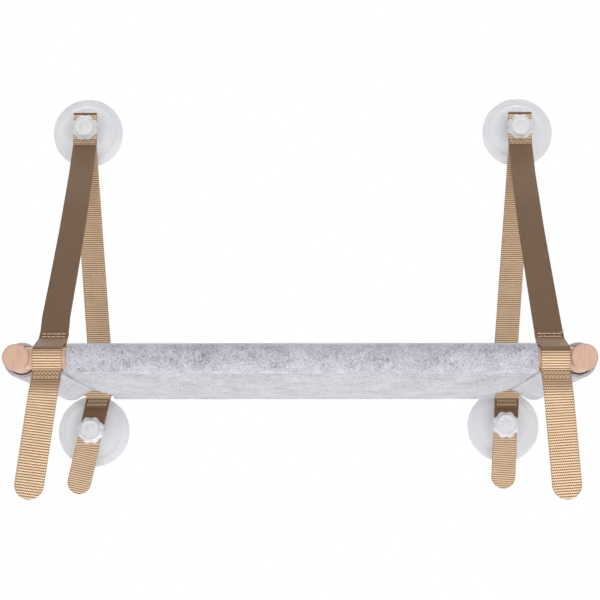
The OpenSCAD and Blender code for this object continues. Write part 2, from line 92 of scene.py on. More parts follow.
# A nut's scalloped flange: (share of its radius, share of its height, mm past that, depth of the lobes as a share)
NUT_FLANGE = ((0.96, 0, 0, 0.08), (1.01, 0, 0.3, 0.09), (1.035, 0, 1, 0.1), (1.035, 0.26, 0, 0.105),
              (1.01, 0.38, 0, 0.11), (0.95, 0.48, 0, 0.11), (0.88, 0.56, 0, 0.095), (0.82, 0.65, 0, 0.07))
# The collar round its dish, with shares of the dish's radius in place of the nut's
NUT_COLLAR = ((1.15, 0.77, 0, 0.035), (1.12, 0.89, 0, 0.015), (1.08, 0.97, 0, 0), (1.03, 1, 0, 0),
              (0.99, 1, -0.12, 0), (0.965, 1, -0.5, 0))
# The petalled boss in the dish: (share of the dish's radius, depth of the petals), and its height in dish depths
NUT_BOSS = ((0.78, 0.18), (0.74, 0.3), (0.66, 0.36), (0.54, 0.34), (0.4, 0.24), (0.26, 0.1), (0.1, 0))
NUT_BOSS_EDGE, NUT_BOSS_RISE = 0.79, 0.75

# Size of a unit of the weave's UV map, and width of a yarn in such units
UV_UNIT, YARN_WIDTH = 10 * MM, 0.19
# How far the felt's fibres curl, and the tint of the thicker places in the plastic
FIBRE_CURL, PLASTIC_SHADE = 0.006, (0.6, 0.62, 0.72)

# The camera that took the photograph: place in mm, turn in degrees, lens and sensor in mm
CAMERA_PLACE, CAMERA_TURN = (11.8, -1729.6, -127.2), (97.35, 0, 0.482)
CAMERA_LENS, CAMERA_SENSOR, CAMERA_FAR = 96.3, 36, 50
# Lamps: name, place and size in metres, power in watts. All of them point at LAMP_TARGET.
LAMPS = (("front", (0.2, -2.65, -0.2), 1.8, 31.5),
         ("under", (0, 0.25, -1.38), 1.5, 12),
         ("window", (0, 1.6, 1.8), 1.8, 30))
LAMP_TARGET = (0, -0.2, 0)
# The room is plain white to the camera, and gives the perch this share of that light
ROOM_LIGHT = 0.45
FLOOR_Z, FLOOR_HALF, FLOOR_TONE, FLOOR_GLOW = -1.6, 6, 0.93, 0.52


def length(label, text, value):
    return FloatProperty(name=label, description=text, default=value * MM, unit="LENGTH", precision=5)


def degrees(label, text, value):
    return FloatProperty(name=label, description=text, default=math.radians(value), unit="ROTATION")


def tint(label, text, value):
    return FloatVectorProperty(name=label, description=text, default=value, subtype="COLOR", size=3, min=0, max=1)


class PerchFrameSizes(PropertyGroup):
    """Sizes of the dowels and of the felt cover"""

    frame_span: length("Frame span", "Between the axes of the side rails", 487)
    frame_depth: length("Frame depth", "Between the axes of the front and rear rails", 331)
    rail_to_glass: length("Rail to glass", "From the glass to the rear rail's axis", 20)
    side_rail_d: length("Side rail diameter", "Diameter of the side rails", 23)
    long_rail_d: length("Long rail diameter", "Diameter of the front and rear rails", 19)
    felt_t: length("Felt thickness", "Thickness of the felt", 3)
    long_sleeve_gap: length("Long sleeve gap", "Space between a long rail and its sleeve", 0.7)
    side_sleeve_gap: length("Side sleeve gap", "Space between a side rail and its sleeve", 1.2)
    long_sleeve_length: length("Long sleeve length", "Length of the front and rear sleeves", 404)
    cover_shift: length("Cover shift", "How far the long sleeves slid to the right", 2)
    side_sleeve_start: length("Side sleeve start", "From a long rail's axis to the end of a side sleeve", 20)
    long_seam_reach: length("Long seam reach", "From a long rail's axis to the seam of its sleeve", 23)
    side_seam_reach: length("Side seam reach", "From a side rail's axis to the seam of its sleeve", 19.5)
    flap_lap: length("Flap lap", "Width of the flap sewn flat past a seam", 5)
    sag_depth: length("Sag depth", "How far the middle of the bed sags", 19)
    sag_flatness: FloatProperty(name="Sag flatness", description="How flat the sag is from side to side", default=10)


class PerchStrapSizes(PropertyGroup):
    """Sizes of the webbing"""

    strap_w: length("Strap width", "Width of the webbing", 25.4)
    strap_t: length("Strap thickness", "Thickness of the webbing", 1.5)
    rib_pitch: length("Rib pitch", "From one rib of the webbing to the next", 2.26)
    rib_height: length("Rib height", "Height of the webbing's ribs", 0.22)
    strap_x: length("Strap place", "From the perch's middle to a strap's at the rails", 217)
    right_strap_shift: length("Right strap shift", "How far the right front loop slid outwards", 2.2)
    strap_gap: length("Strap gap", "Space between a webbing loop and its rail", 0.3)
    front_seam_start: length("Front seam start", "Up from the rail's axis to where the layers meet", 29)
    front_seam_length: length("Front seam length", "Length of the sewn stretch above the front rail", 12)
    rear_seam_start: length("Rear seam start", "Up from the rail's axis to where the layers meet", 22)
    rear_seam_length: length("Rear seam length", "Length of the sewn stretch above the rear rail", 12)
    lower_seam_start: length("Lower seam start", "Down from a rail's axis to where the layers meet", 13)
    lower_seam_length: length("Lower seam length", "Length of the sewn stretch below a rail", 11)
    front_tail_kick: degrees("Front tail kick", "Slope of the seam below the front rail", 30)
    front_tail_bend_r: length("Front tail bend", "Radius of the bend back to straight down", 24)
    front_tail_drop: length("Front tail drop", "How far a front tail's tip is below the rails", 121)
    rear_tail_length: length("Rear tail length", "Length of a rear tail below its cup's axis", 67)
    left_front_tail_slope: degrees("Left front tail slope", "Sideways slope of the tail", 7.5)
    right_front_tail_slope: degrees("Right front tail slope", "Sideways slope of the tail", 4)
    left_rear_tail_slope: degrees("Left rear tail slope", "Sideways slope below the rear rail", 12)
    right_rear_tail_slope: degrees("Right rear tail slope", "Sideways slope below the rear rail", -3.5)


class PerchCupSizes(PropertyGroup):
    """Sizes of the suction cups and their nuts"""

    cup_d: length("Cup diameter", "Diameter of a suction cup", 76)
    cup_h: length("Cup height", "From the glass to the face that clamps the webbing", 24)
    cup_rim_t: length("Cup rim", "Thickness of the cup at its rim", 1.2)
    cup_hollow: length("Cup hollow", "Depth of the hollow under a cup", 2.6)
    cup_neck_d: length("Cup neck", "Diameter of the neck behind the webbing", 22)
    stud_d: length("Stud diameter", "Diameter of the stud", 8)
    stud_length: length("Stud length", "Length of the stud past the clamping face", 7.6)
    nut_d: length("Nut diameter", "Diameter of a nut over its lobes", 28)
    nut_h: length("Nut height", "Height of a nut", 8.5)
    nut_dish_d: length("Dish diameter", "Diameter of the dish in the front of a nut", 19)
    nut_dish_depth: length("Dish depth", "Depth of the dish", 2.0)
    nut_lobes: IntProperty(name="Lobes", description="Number of lobes of a nut", default=8, min=6, max=10)
    upper_cup_x: length("Upper cup place", "From the perch's middle to the upper cups' axes", 236)
    upper_cup_z: length("Upper cup height", "Height of the upper cups' axes", 281)
    fold_reach: length("Fold reach", "How far the fold stands above an upper cup's axis", 17.2)
    left_cup_drop: length("Left cup drop", "How far the left lower cup is below the rails", 46.5)
    right_cup_drop: length("Right cup drop", "How far the right lower cup is below the rails", 41)


class PerchColours(PropertyGroup):
    """Colours of the perch"""

    webbing_rib: tint("Webbing rib", "Colour on the crests of the webbing's ribs", (0.83, 0.59, 0.385))
    # Colour between the ribs: partly the yarn's own, partly painted shade in the valleys
    webbing_valley: tint("Webbing valley", "Colour between the webbing's ribs", (0.225, 0.13, 0.068))
    # The smooth brown side's colour, also used as painted shade at seams, along a fold's top and under the upper nuts
    webbing_brown_and_shade: tint("Webbing back", "Colour of the webbing's smooth brown side", (0.195, 0.111, 0.062))
    thread: tint("Thread", "Colour of the sewing thread", (0.80, 0.60, 0.41))
    felt_light: tint("Felt light", "Colour of the felt's pale fibres", (0.575, 0.575, 0.635))
    felt_dark: tint("Felt dark", "Colour of the felt's dark fibres", (0.23, 0.23, 0.27))
    beech: tint("Beech", "Colour of the beech dowels", (0.69, 0.44, 0.325))
    beech_dark: tint("Beech grain", "Colour of the grain in the beech", (0.55, 0.32, 0.215))
    cup_plastic: tint("Cup plastic", "Colour of the suction cups", (0.88, 0.885, 0.915))
    nut_plastic: tint("Nut plastic", "Colour of the finger nuts", (0.93, 0.93, 0.94))


def sizes():
    return bpy.context.scene.perch_frame_sizes


def straps():
    return bpy.context.scene.perch_strap_sizes


def cups():
    return bpy.context.scene.perch_cup_sizes


def colours():
    return bpy.context.scene.perch_colours


# The side view: points are (y, z), angles turn from +y towards +z


def along(axis, angle, reach):
    return Vector(axis) + reach * Vector((math.cos(angle), math.sin(angle)))


def across(angle, shift):
    return shift * Vector((-math.sin(angle), math.cos(angle)))


def arc(centre, radius, start, end, steps=48):
    return [along(centre, start + (end - start) * i / steps, radius) for i in range(steps + 1)]


# A webbing loop round a rail: the rail's axis, the ways of its seams up and down from there, and the reach of the
# upper seam's two ends
Loop = namedtuple("Loop", "axis up down seam_start seam_end")


class Layout:
    """Places in the side view that the webbing and the felt share, worked out from the sizes."""

    def __init__(self):
        f, s, c = sizes(), straps(), cups()
        rear, front = Vector((-f.rail_to_glass, 0)), Vector((-f.rail_to_glass - f.frame_depth, 0))
        self.side_x = f.frame_span / 2
        self.loop_r = f.long_rail_d / 2 + s.strap_gap + s.strap_t / 2
        self.layer = (s.strap_t + LAYER_GAP) / 2
        self.inner_y = -(c.cup_h + CLAMP_GAP + s.strap_t / 2)
        self.outer_y = self.inner_y - 2 * self.layer
        self.fold_top = c.upper_cup_z + c.fold_reach
        self.fold_bottom = c.upper_cup_z - c.nut_d / 2 - s.strap_w * 0.19
        self.leg_bend = Vector((self.outer_y, self.fold_bottom))
        self.rear_bend = Vector((self.inner_y, self.fold_bottom))
        self.lower_bend = Vector((self.inner_y, -2 * s.lower_seam_start))
        down = math.radians(270) - s.front_tail_kick
        self.front = Loop(front, self.aim(front, self.leg_bend, 1), down,
                          s.front_seam_start, s.front_seam_start + s.front_seam_length)
        down = 2 * math.pi + self.aim(rear, self.lower_bend, 1)
        self.rear = Loop(rear, self.aim(rear, self.rear_bend, -1), down,
                         s.rear_seam_start, s.rear_seam_start + s.rear_seam_length)
        self.lower_seam_end = s.lower_seam_start + s.lower_seam_length
        self.pivot_gap = s.strap_t / 2 + 0.35 * MM
        self.seam_below_cup = c.nut_d / 2 + s.strap_t

    def aim(self, start, end, side):
        """Angle of the seam between two layers that part to either side of it."""
        way = end - start
        return math.atan2(way.y, way.x) - side * math.asin(self.layer / way.length)

    def touch(self, reach):
        """Angle from a seam to where its layer leaves the round of the loop."""
        return math.acos(self.loop_r / math.hypot(reach, self.layer)) + math.atan2(self.layer, reach)

    def round_rail(self, loop, side):
        """Middle line of one layer of a loop, from the seam above the rail to the seam below it."""
        low = straps().lower_seam_start
        turn = 0 if side > 0 else 2 * math.pi
        above, below = across(loop.up, side * self.layer), across(loop.down, -side * self.layer)
        return [
            along(loop.axis, loop.up, loop.seam_end) + above,
            along(loop.axis, loop.up, loop.seam_start) + above,
            *arc(loop.axis, self.loop_r, loop.up + side * self.touch(loop.seam_start),
                 loop.down - side * self.touch(low) - turn),
            along(loop.axis, loop.down, low) + below,
            along(loop.axis, loop.down, self.lower_seam_end) + below,
        ]

    def seam_top(self, loop):
        return along(loop.axis, loop.up, loop.seam_end)

    def slant_x(self, name, z):
        """x of a rear strap's middle below the rear rail."""
        s = straps()
        slope = getattr(s, f"{name}_rear_tail_slope")
        return SIDES[name] * (s.strap_x + math.tan(slope) * (-s.lower_seam_start - z))

    def cup_place(self, level, name):
        c = cups()
        if level == "upper":
            return Vector((SIDES[name] * c.upper_cup_x, 0, c.upper_cup_z))
        drop = getattr(c, f"{name}_cup_drop")
        return Vector((self.slant_x(name, -drop), 0, -drop))


class Run:
    """A line in the side view, walked by its length, with its corners eased."""

    def __init__(self, points, ease=1.2 * MM, step=0.4 * MM):
        dense = [Vector(points[0])]
        for p, q in zip(points, points[1:]):
            p, q = Vector(p), Vector(q)
            count = max(1, math.ceil((q - p).length / step))
            dense += [p.lerp(q, (i + 1) / count) for i in range(count)]
        reach = max(1, round(ease / step))
        self.points = []
        for i in range(len(dense)):
            k = min(reach, i, len(dense) - 1 - i)
            near = dense[i - k:i + k + 1]
            self.points.append(sum(near, Vector((0, 0))) / len(near))
        self.marks = [0.0]
        for p, q in zip(self.points, self.points[1:]):
            self.marks.append(self.marks[-1] + (q - p).length)
        self.length = self.marks[-1]

    def at(self, reach):
        """(point, direction) at a distance from the start; past either end the line goes on straight."""
        low = min(max(bisect_right(self.marks, reach) - 1, 0), len(self.marks) - 2)
        p, q = self.points[low], self.points[low + 1]
        span = self.marks[low + 1] - self.marks[low]
        a = self.points[max(low - 1, 0)]
        b = self.points[min(low + 2, len(self.points) - 1)]
        share = (reach - self.marks[low]) / span if span else 0
        before, after = (q - a).normalized(), (b - p).normalized()
        return p.lerp(q, share), before.lerp(after, min(max(share, 0), 1)).normalized()

    def nearest(self, point):
        """Distance from the start to the place on the line that is nearest to a point."""
        best = min(range(len(self.points)), key=lambda i: (self.points[i] - point).length)
        return self.marks[best]


def course(*knots, ease=3 * MM):
    """A function of height through knots (height, x) in rising order, with its corners eased."""

    def plain(z):
        i = min(max(sum(at < z for at, _ in knots), 1), len(knots) - 1)
        (a, p), (b, q) = knots[i - 1], knots[i]
        return p + (q - p) * (z - a) / (b - a)

    return lambda z: sum(plain(z + ease * k) for k in (-1, -0.5, 0, 0.5, 1)) / 5


def new_piece(name, bm, material_name):
    bmesh.ops.recalc_face_normals(bm, faces=bm.faces[:])
    mesh = bpy.data.meshes.new(name)
    bm.to_mesh(mesh)
    bm.free()
    for polygon in mesh.polygons:
        polygon.use_smooth = True
    mesh.materials.append(material(material_name))
    piece = bpy.data.objects.new(name, mesh)
    bpy.context.scene.collection.objects.link(piece)
    return piece


def bumpy(x, y, z):
    """Steady noise from -1 to 1."""
    return noise.noise(Vector((x, y, z)))


def strip(columns, rows, thickness):
    """A flat closed sheet of unit size, x and y from 0 to 1, with the given thickness about z = 0."""
    bm = bmesh.new()
    bmesh.ops.create_grid(bm, x_segments=columns, y_segments=rows, size=0.5)
    bmesh.ops.translate(bm, vec=(0.5, 0.5, -thickness / 2), verts=bm.verts)
    bmesh.ops.solidify(bm, geom=bm.faces[:], thickness=thickness)
    low = min(v.co.z for v in bm.verts)
    bmesh.ops.translate(bm, vec=(0, 0, -thickness / 2 - low), verts=bm.verts)
    return bm


def webbing(name, run, x_at, phase, brown_share=lambda reach, face: 0.0, tip=0, turn_in=0):
    """Ribbed webbing along a run, with its middle at x_at(height) and its ribs shifted by phase. The function after
    that, of reach and face, says how much brown shows on face 1 or -1: the smooth brown side, and in places painted
    shade.
    tip is the radius of a half round far end, and turn_in is the length over which the ribs turn square to the edges."""
    s = straps()
    half, edge = s.strap_w / 2, s.strap_t * 0.45
    bm = strip(max(6, round(run.length / s.rib_pitch * RIB_STEPS)), WEB_COLUMNS, s.strap_t)
    uv = bm.loops.layers.uv.new("weave")
    brown_side_and_shade = bm.verts.layers.float.new("brown_side_and_shade")
    places = {}
    for v in bm.verts:
        reach, face = v.co.x * run.length, 1 if v.co.z > 0 else -1
        brown = v[brown_side_and_shade] = brown_share(reach, face)
        valley = (1 - math.sin(math.pi * (reach + phase) / s.rib_pitch) ** 2) * (1 - 0.7 * brown)
        # Half the width here: the edge is scalloped by the ribs, and rounded off at the tip
        width = half - valley * s.rib_height * 1.6
        if tip and run.length - reach < tip:
            rest = max(run.length - reach, 0)
            width = math.sqrt(max(tip * tip - (tip - rest) ** 2, 0)) * width / tip
        share = math.sin(math.pi * (v.co.y - 0.5))
        off = share * width
        # Half the thickness here: thinner towards the selvedge and in the valleys
        close = max(0, abs(off) - (width - edge)) / edge if width > edge else abs(share)
        body = s.strap_t / 2 * math.sqrt(max(1 - 0.75 * close * close, 0.05)) - valley * s.rib_height
        wave = bumpy(reach * 60, off * 40, face * 2 + phase * 900) * 0.08 * MM
        point, way = run.at(reach)
        middle, lean = x_at(point.y), 0
        if turn_in:
            lean = (x_at(run.at(reach + MM)[0].y) - middle) / MM * min(reach / turn_in, 1)
        square = off / math.sqrt(1 + lean * lean)
        if lean:
            point, way = run.at(max(reach - lean * square, 0))
        flat = point + across_way(way) * face * (body + wave)
        places[v] = ((reach + phase) / UV_UNIT, off / UV_UNIT)
        v.co = (middle + square, flat.x, flat.y)
    for corner in (corner for polygon in bm.faces for corner in polygon.loops):
        corner[uv].uv = places[corner.vert]
    return new_piece(name, bm, "ribbed_webbing")


def across_way(way):
    return Vector((-way.y, way.x))


def stitch(bm, start, end, radius, lift):
    """One stitch: a plump length of thread from start to end, raised by lift in the middle."""
    way = end - start
    turn = way.to_track_quat("X", "Z").to_matrix().to_4x4()
    made = bmesh.ops.create_uvsphere(bm, u_segments=8, v_segments=6, radius=1)["verts"]
    bmesh.ops.rotate(bm, verts=made, cent=(0, 0, 0), matrix=Matrix.Rotation(math.pi / 2, 3, "Y"))
    bmesh.ops.scale(bm, vec=(way.length / 2 + radius, radius, radius), verts=made)
    bmesh.ops.transform(bm, matrix=Matrix.Translation((start + end) / 2) @ turn, verts=made)
    for v in made:
        share = (v.co - start).dot(way) / way.length_squared
        v.co += lift * (1 - (2 * min(max(share, 0), 1) - 1) ** 2)


class Sewing:
    """Stitches on one face of a length of webbing."""

    def __init__(self, bm, run, x_at, face):
        self.bm, self.run, self.x_at, self.face = bm, run, x_at, face

    def spot(self, reach, off, height=0.0):
        """(place, outward direction) on the face."""
        point, way = self.run.at(reach)
        out = across_way(way) * self.face
        flat = point + out * (straps().strap_t / 2 + height)
        return Vector((self.x_at(point.y) + off, flat.x, flat.y)), Vector((0, out.x, out.y))

    def rows(self, reaches, count=5, span=21 * MM, gap=0.9 * MM):
        """Rows of straight stitches across the webbing, a little uneven."""
        pitch = span / count
        for row, reach in enumerate(reaches):
            for i in range(count):
                low = -span / 2 + pitch * i + gap / 2
                jitter = 0.25 * MM * math.sin(2.7 * i + 1.9 * row)
                a, up = self.spot(reach + jitter, low)
                b, _ = self.spot(reach - jitter * 0.6, low + pitch - gap)
                stitch(self.bm, a, b, 0.58 * MM, up * 0.3 * MM)

    def zigzag(self, start, end, count, span):
        """Slanted stitches across the webbing, to and fro between two reaches."""
        step = span / count / 2
        for i in range(count * 2):
            near, far = (start, end) if i % 2 == 0 else (end, start)
            a, up = self.spot(near, -span / 2 + step * i)
            b, _ = self.spot(far, -span / 2 + step * i + step)
            stitch(self.bm, a.lerp(b, 0.06), a.lerp(b, 0.94), 0.46 * MM, up * 0.25 * MM)

    def loose_end(self, reach):
        """The end of the thread, which curls up off the outer edge of a seam."""
        points = [self.spot(reach + up * MM, off * MM, lift * MM)[0] for off, up, lift in LOOSE_END]
        for start, end in zip(points, points[1:]):
            stitch(self.bm, start, end, 0.3 * MM, Vector((0, 0, 0)))


# Materials


def grey(value):
    return (value, value, value)


def mix_colour(a, b, share):
    return tuple(p + (q - p) * share for p, q in zip(a, b))


class Nodes:
    """A node tree in the making. Its methods add nodes and give what comes out of them."""

    def __init__(self, tree):
        self.tree = tree

    def add(self, kind, inputs=(), **settings):
        made = self.tree.nodes.new("ShaderNode" + kind)
        for key, value in settings.items():
            setattr(made, key, value)
        self.fill(made, dict(inputs))
        return made.outputs

    def place(self):
        return self.add("TexCoord")["Object"]

    def attribute(self, name):
        return self.add("Attribute", attribute_name=name)["Fac"]

    def noise(self, place, scale, detail=2.0, roughness=0.5, output="Fac"):
        inputs = {"Vector": place, "Scale": scale, "Detail": detail, "Roughness": roughness}
        return self.add("TexNoise", inputs)[output]

    def math(self, operation, *values):
        return self.add("Math", dict(enumerate(values)), operation=operation)[0]

    def vector(self, operation, *values):
        return self.add("VectorMath", dict(enumerate(values)), operation=operation)[0]

    def total(self, *terms):
        """The sum of (value, weight) terms."""
        (value, weight), *rest = terms
        total = self.math("MULTIPLY", value, weight)
        for value, weight in rest:
            total = self.math("MULTIPLY_ADD", value, weight, total)
        return total

    def mix(self, factor, a, b, blend="MIX"):
        return self.add("Mix", {0: factor, 6: a, 7: b}, data_type="RGBA", blend_type=blend)[2]

    def ramp(self, factor, *stops):
        """Colours between stops of (place, colour), or greys where a stop's colour is one number."""
        outputs = self.add("ValToRGB", {"Fac": factor})
        elements = outputs[0].node.color_ramp.elements
        while len(elements) < len(stops):
            elements.new(0.5)
        for element, (at, colour) in zip(elements, stops):
            element.position = at
            element.color = (*(grey(colour) if isinstance(colour, float) else colour), 1)
        return outputs["Color"]

    def seen_rays(self):
        """1 for what the camera sees, also in gloss and through clear plastic, and 0 for the light on the perch."""
        path = self.add("LightPath")
        rays = self.math("MAXIMUM", path["Is Camera Ray"], path["Is Glossy Ray"])
        return self.math("MAXIMUM", rays, path["Is Transmission Ray"])

    def fill(self, made, inputs):
        """Links a node's inputs, or sets those that are plain numbers and colours."""
        for key, value in inputs.items():
            socket = made.inputs[key]
            if isinstance(value, bpy.types.NodeSocket):
                self.tree.links.new(value, socket)
            else:
                socket.default_value = (*value, 1) if socket.type == "RGBA" else value

    def finish(self, inputs, bump=None):
        """Fills the material's shader; bump is (strength, distance, height)."""
        if bump:
            bumped = self.add("Bump", dict(zip(("Strength", "Distance", "Height"), bump)))
            inputs = {**inputs, "Normal": bumped["Normal"]}
        self.fill(self.tree.nodes["Principled BSDF"], inputs)


def ribbed_webbing(n):
    """Ribbed satin webbing: tan yarns twisted along each rib with a painted highlight on their tops, brown valleys
    partly darkened as painted shade, and a smooth brown side that also stands for painted shade in places.
    """
    c, pitch = colours(), straps().rib_pitch / UV_UNIT
    uv = n.add("UVMap", uv_map="weave")["UV"]
    parts, brown_share = n.add("SeparateXYZ", {"Vector": uv}), n.attribute("brown_side_and_shade")
    reach = n.math("MULTIPLY_ADD", n.noise(uv, 3.0), 0.05, parts["X"])
    rib = n.math("POWER", n.math("SINE", n.math("MULTIPLY", reach, math.pi / pitch)), 2.0)
    turns = n.math("MULTIPLY", reach, 0.6 * 2 * math.pi / pitch)
    twist = n.math("SINE", n.math("MULTIPLY_ADD", parts["Y"], 2 * math.pi / YARN_WIDTH, turns))
    fray = n.noise(uv, 55.0, 4.0, 0.7)
    soft = n.math("MULTIPLY_ADD", fray, 0.2, n.math("MULTIPLY_ADD", twist, 0.27, rib))
    # The top stop mixes the rib colour towards white as a painted highlight on the yarns' tops; the dark valley stop
    # is partly painted shade
    tan = n.ramp(soft, (0.1, c.webbing_valley), (0.5, mix_colour(c.webbing_valley, c.webbing_rib, 0.5)),
                 (0.85, c.webbing_rib), (1.0, mix_colour(c.webbing_rib, WHITE, 0.1)))
    tan = n.mix(1.0, tan, n.ramp(n.noise(uv, 0.8, 3.0), (0.3, 0.9), (0.7, 1.0)), "MULTIPLY")
    weft = n.total((fray, 0.9), (rib, 0.25))
    brown = n.ramp(weft, (0.3, mix_colour(c.webbing_brown_and_shade, BLACK, 0.22)), (0.75, c.webbing_brown_and_shade))
    n.finish({
        # Brown where the mask says so: the smooth brown side, and painted shade at seams, along a fold's top and under
        # the upper nuts
        "Base Color": n.mix(brown_share, tan, brown),
        "Metallic": n.mix(brown_share, n.ramp(soft, (0.3, 0.05), (0.9, 0.4)), grey(0.1)),
        "Roughness": n.ramp(fray, (0.2, 0.42), (0.8, 0.54)),
        "Specular IOR Level": 0.05,
    }, (0.35, 0.12 * MM, n.total((fray, 1.2), (twist, 0.8))))


def sewing_thread(n):
    """Twisted sewing thread."""
    c = colours()
    wave = {"Vector": n.place(), "Scale": 900.0, "Distortion": 2.0, "Detail": 1.0}
    twist = n.add("TexWave", wave, bands_direction="DIAGONAL")["Fac"]
    colour = n.ramp(twist, (0.2, mix_colour(c.thread, c.webbing_valley, 0.35)), (0.8, c.thread))
    n.finish({"Base Color": colour, "Roughness": 0.5}, (0.4, 0.1 * MM, twist))


def grey_felt(n):
    """Needled wool felt: pale ground, small dark flecks of mixed fibres, fuzz, and a painted highlight along folds."""
    c, place = colours(), n.place()
    curl = n.vector("MULTIPLY", n.noise(place, 240.0, output="Color"), grey(FIBRE_CURL))
    curl = n.vector("ADD", place, curl)
    flecks, fibres = n.noise(curl, 640.0, 3.0, 0.6), n.noise(curl, 1700.0, 3.0, 0.7)
    patches, drifts = n.noise(place, 120.0, 4.0, 0.6), n.noise(place, 42.0, 3.0, 0.6)
    mottle = n.total((fibres, 0.18), (flecks, 0.47), (patches, 0.18), (drifts, 0.17))
    colour = n.ramp(mottle, (0.38, c.felt_dark), (0.45, mix_colour(c.felt_dark, c.felt_light, 0.5)),
                    (0.51, c.felt_light), (0.6, mix_colour(c.felt_light, WHITE, 0.3)))
    n.finish({
        # Paler felt along the sleeves' folds is a painted highlight
        "Base Color": n.mix(n.attribute("fold_highlight"), colour, mix_colour(c.felt_light, WHITE, 0.75)),
        "Roughness": 0.95,
        "Sheen Weight": 0.6,
        "Sheen Roughness": 0.4,
    }, (0.5, 0.5 * MM, n.total((flecks, 0.8), (fibres, 1.0))))


def beech(n, stretch):
    """Sanded beech with fine grain. stretch is the scale of the grain along x, y and z."""
    c, grain = colours(), n.add("Mapping", {"Vector": n.place(), "Scale": stretch})["Vector"]
    lines, pores = n.noise(grain, 1.0, 4.0, 0.6), n.noise(grain, 3.2, 3.0, 0.7)
    tone = n.total((pores, 0.25), (lines, 0.55), (n.noise(grain, 0.16), 0.2))
    colour = n.ramp(tone, (0.34, c.beech_dark), (0.47, mix_colour(c.beech_dark, c.beech, 0.75)),
                    (0.6, c.beech), (0.75, mix_colour(c.beech, WHITE, 0.12)))
    n.finish({"Base Color": colour, "Roughness": n.ramp(pores, (0.3, 0.62), (0.7, 0.45))}, (0.25, 0.2 * MM, pores))


def milky_plastic(n, tone, through, haze, milk):
    """Milky soft plastic that lets light through, with the faint flow marks of moulding."""
    place, colour = n.place(), getattr(colours(), tone)
    n.finish({
        "Base Color": n.ramp(n.noise(place, 30.0), (0.3, mix_colour(colour, PLASTIC_SHADE, 0.08)), (0.7, colour)),
        "Roughness": n.ramp(n.noise(place, 260.0), (0.3, haze - 0.04), (0.7, haze + 0.04)),
        "IOR": 1.45,
        "Transmission Weight": through,
        "Subsurface Weight": milk,
        "Subsurface Radius": (1, 1, 1),
        "Subsurface Scale": 4 * MM,
        "Coat Weight": 0.2,
        "Coat Roughness": 0.2,
    })


def plated_metal(n, colour, rough):
    """Plated metal with fine turning marks."""
    marks = n.noise(n.place(), 1800.0, 3.0)
    n.finish({
        "Base Color": n.ramp(marks, (0.3, mix_colour(colour, BLACK, 0.2)), (0.7, colour)),
        "Roughness": n.ramp(marks, (0.3, rough + 0.1), (0.7, rough)),
        "Metallic": 1.0,
    })


def pale_floor(n):
    """A pale floor that looks white to the camera."""
    glow = n.math("MULTIPLY", n.seen_rays(), FLOOR_GLOW)
    n.finish({"Base Color": grey(FLOOR_TONE), "Roughness": 0.9, "Emission Color": WHITE, "Emission Strength": glow})


# What makes each material, and with which settings
MAKERS = {
    "ribbed_webbing": (ribbed_webbing,),
    "sewing_thread": (sewing_thread,),
    "grey_felt": (grey_felt,),
    "beech_along_y": (beech, (900, 14, 60)),
    "beech_along_x": (beech, (14, 700, 240)),
    "milky_cup_plastic": (milky_plastic, "cup_plastic", 0.3, 0.35, 0.6),
    "milky_nut_plastic": (milky_plastic, "nut_plastic", 0.1, 0.3, 0.0),
    "bolt_steel": (plated_metal, (0.62, 0.62, 0.64), 0.3),
    "insert_brass": (plated_metal, (0.72, 0.55, 0.28), 0.35),
    "pale_floor": (pale_floor,),
}


def material(name):
    made = bpy.data.materials.get(name)
    if not made:
        made = bpy.data.materials.new(name)
        made.use_nodes = True
        maker, *settings = MAKERS[name]
        maker(Nodes(made.node_tree), *settings)
    return made


def repaint(cad_node, name):
    """Gives a CAD node's own mesh another material."""
    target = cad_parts[cad_node]
    if not target.material_slots:
        raise RuntimeError(f"{cad_node} has no material slot")
    for place in target.material_slots:
        place.material = material(name)


# Pieces


class PERCH_OT_wood_frame(Operator):
    """Finish the dowels, bolts and inserts of the wooden frame"""

    bl_idname = "perch.wood_frame"
    bl_label = "Wooden Frame"

    def execute(self, context):
        for name, finish in (("left_side_rail", "beech_along_y"), ("right_side_rail", "beech_along_y"),
                             ("front_rail", "beech_along_x"), ("rear_rail", "beech_along_x"),
                             ("frame_bolts", "bolt_steel"), ("threaded_inserts", "insert_brass")):
            repaint(name, finish)
        return {"FINISHED"}


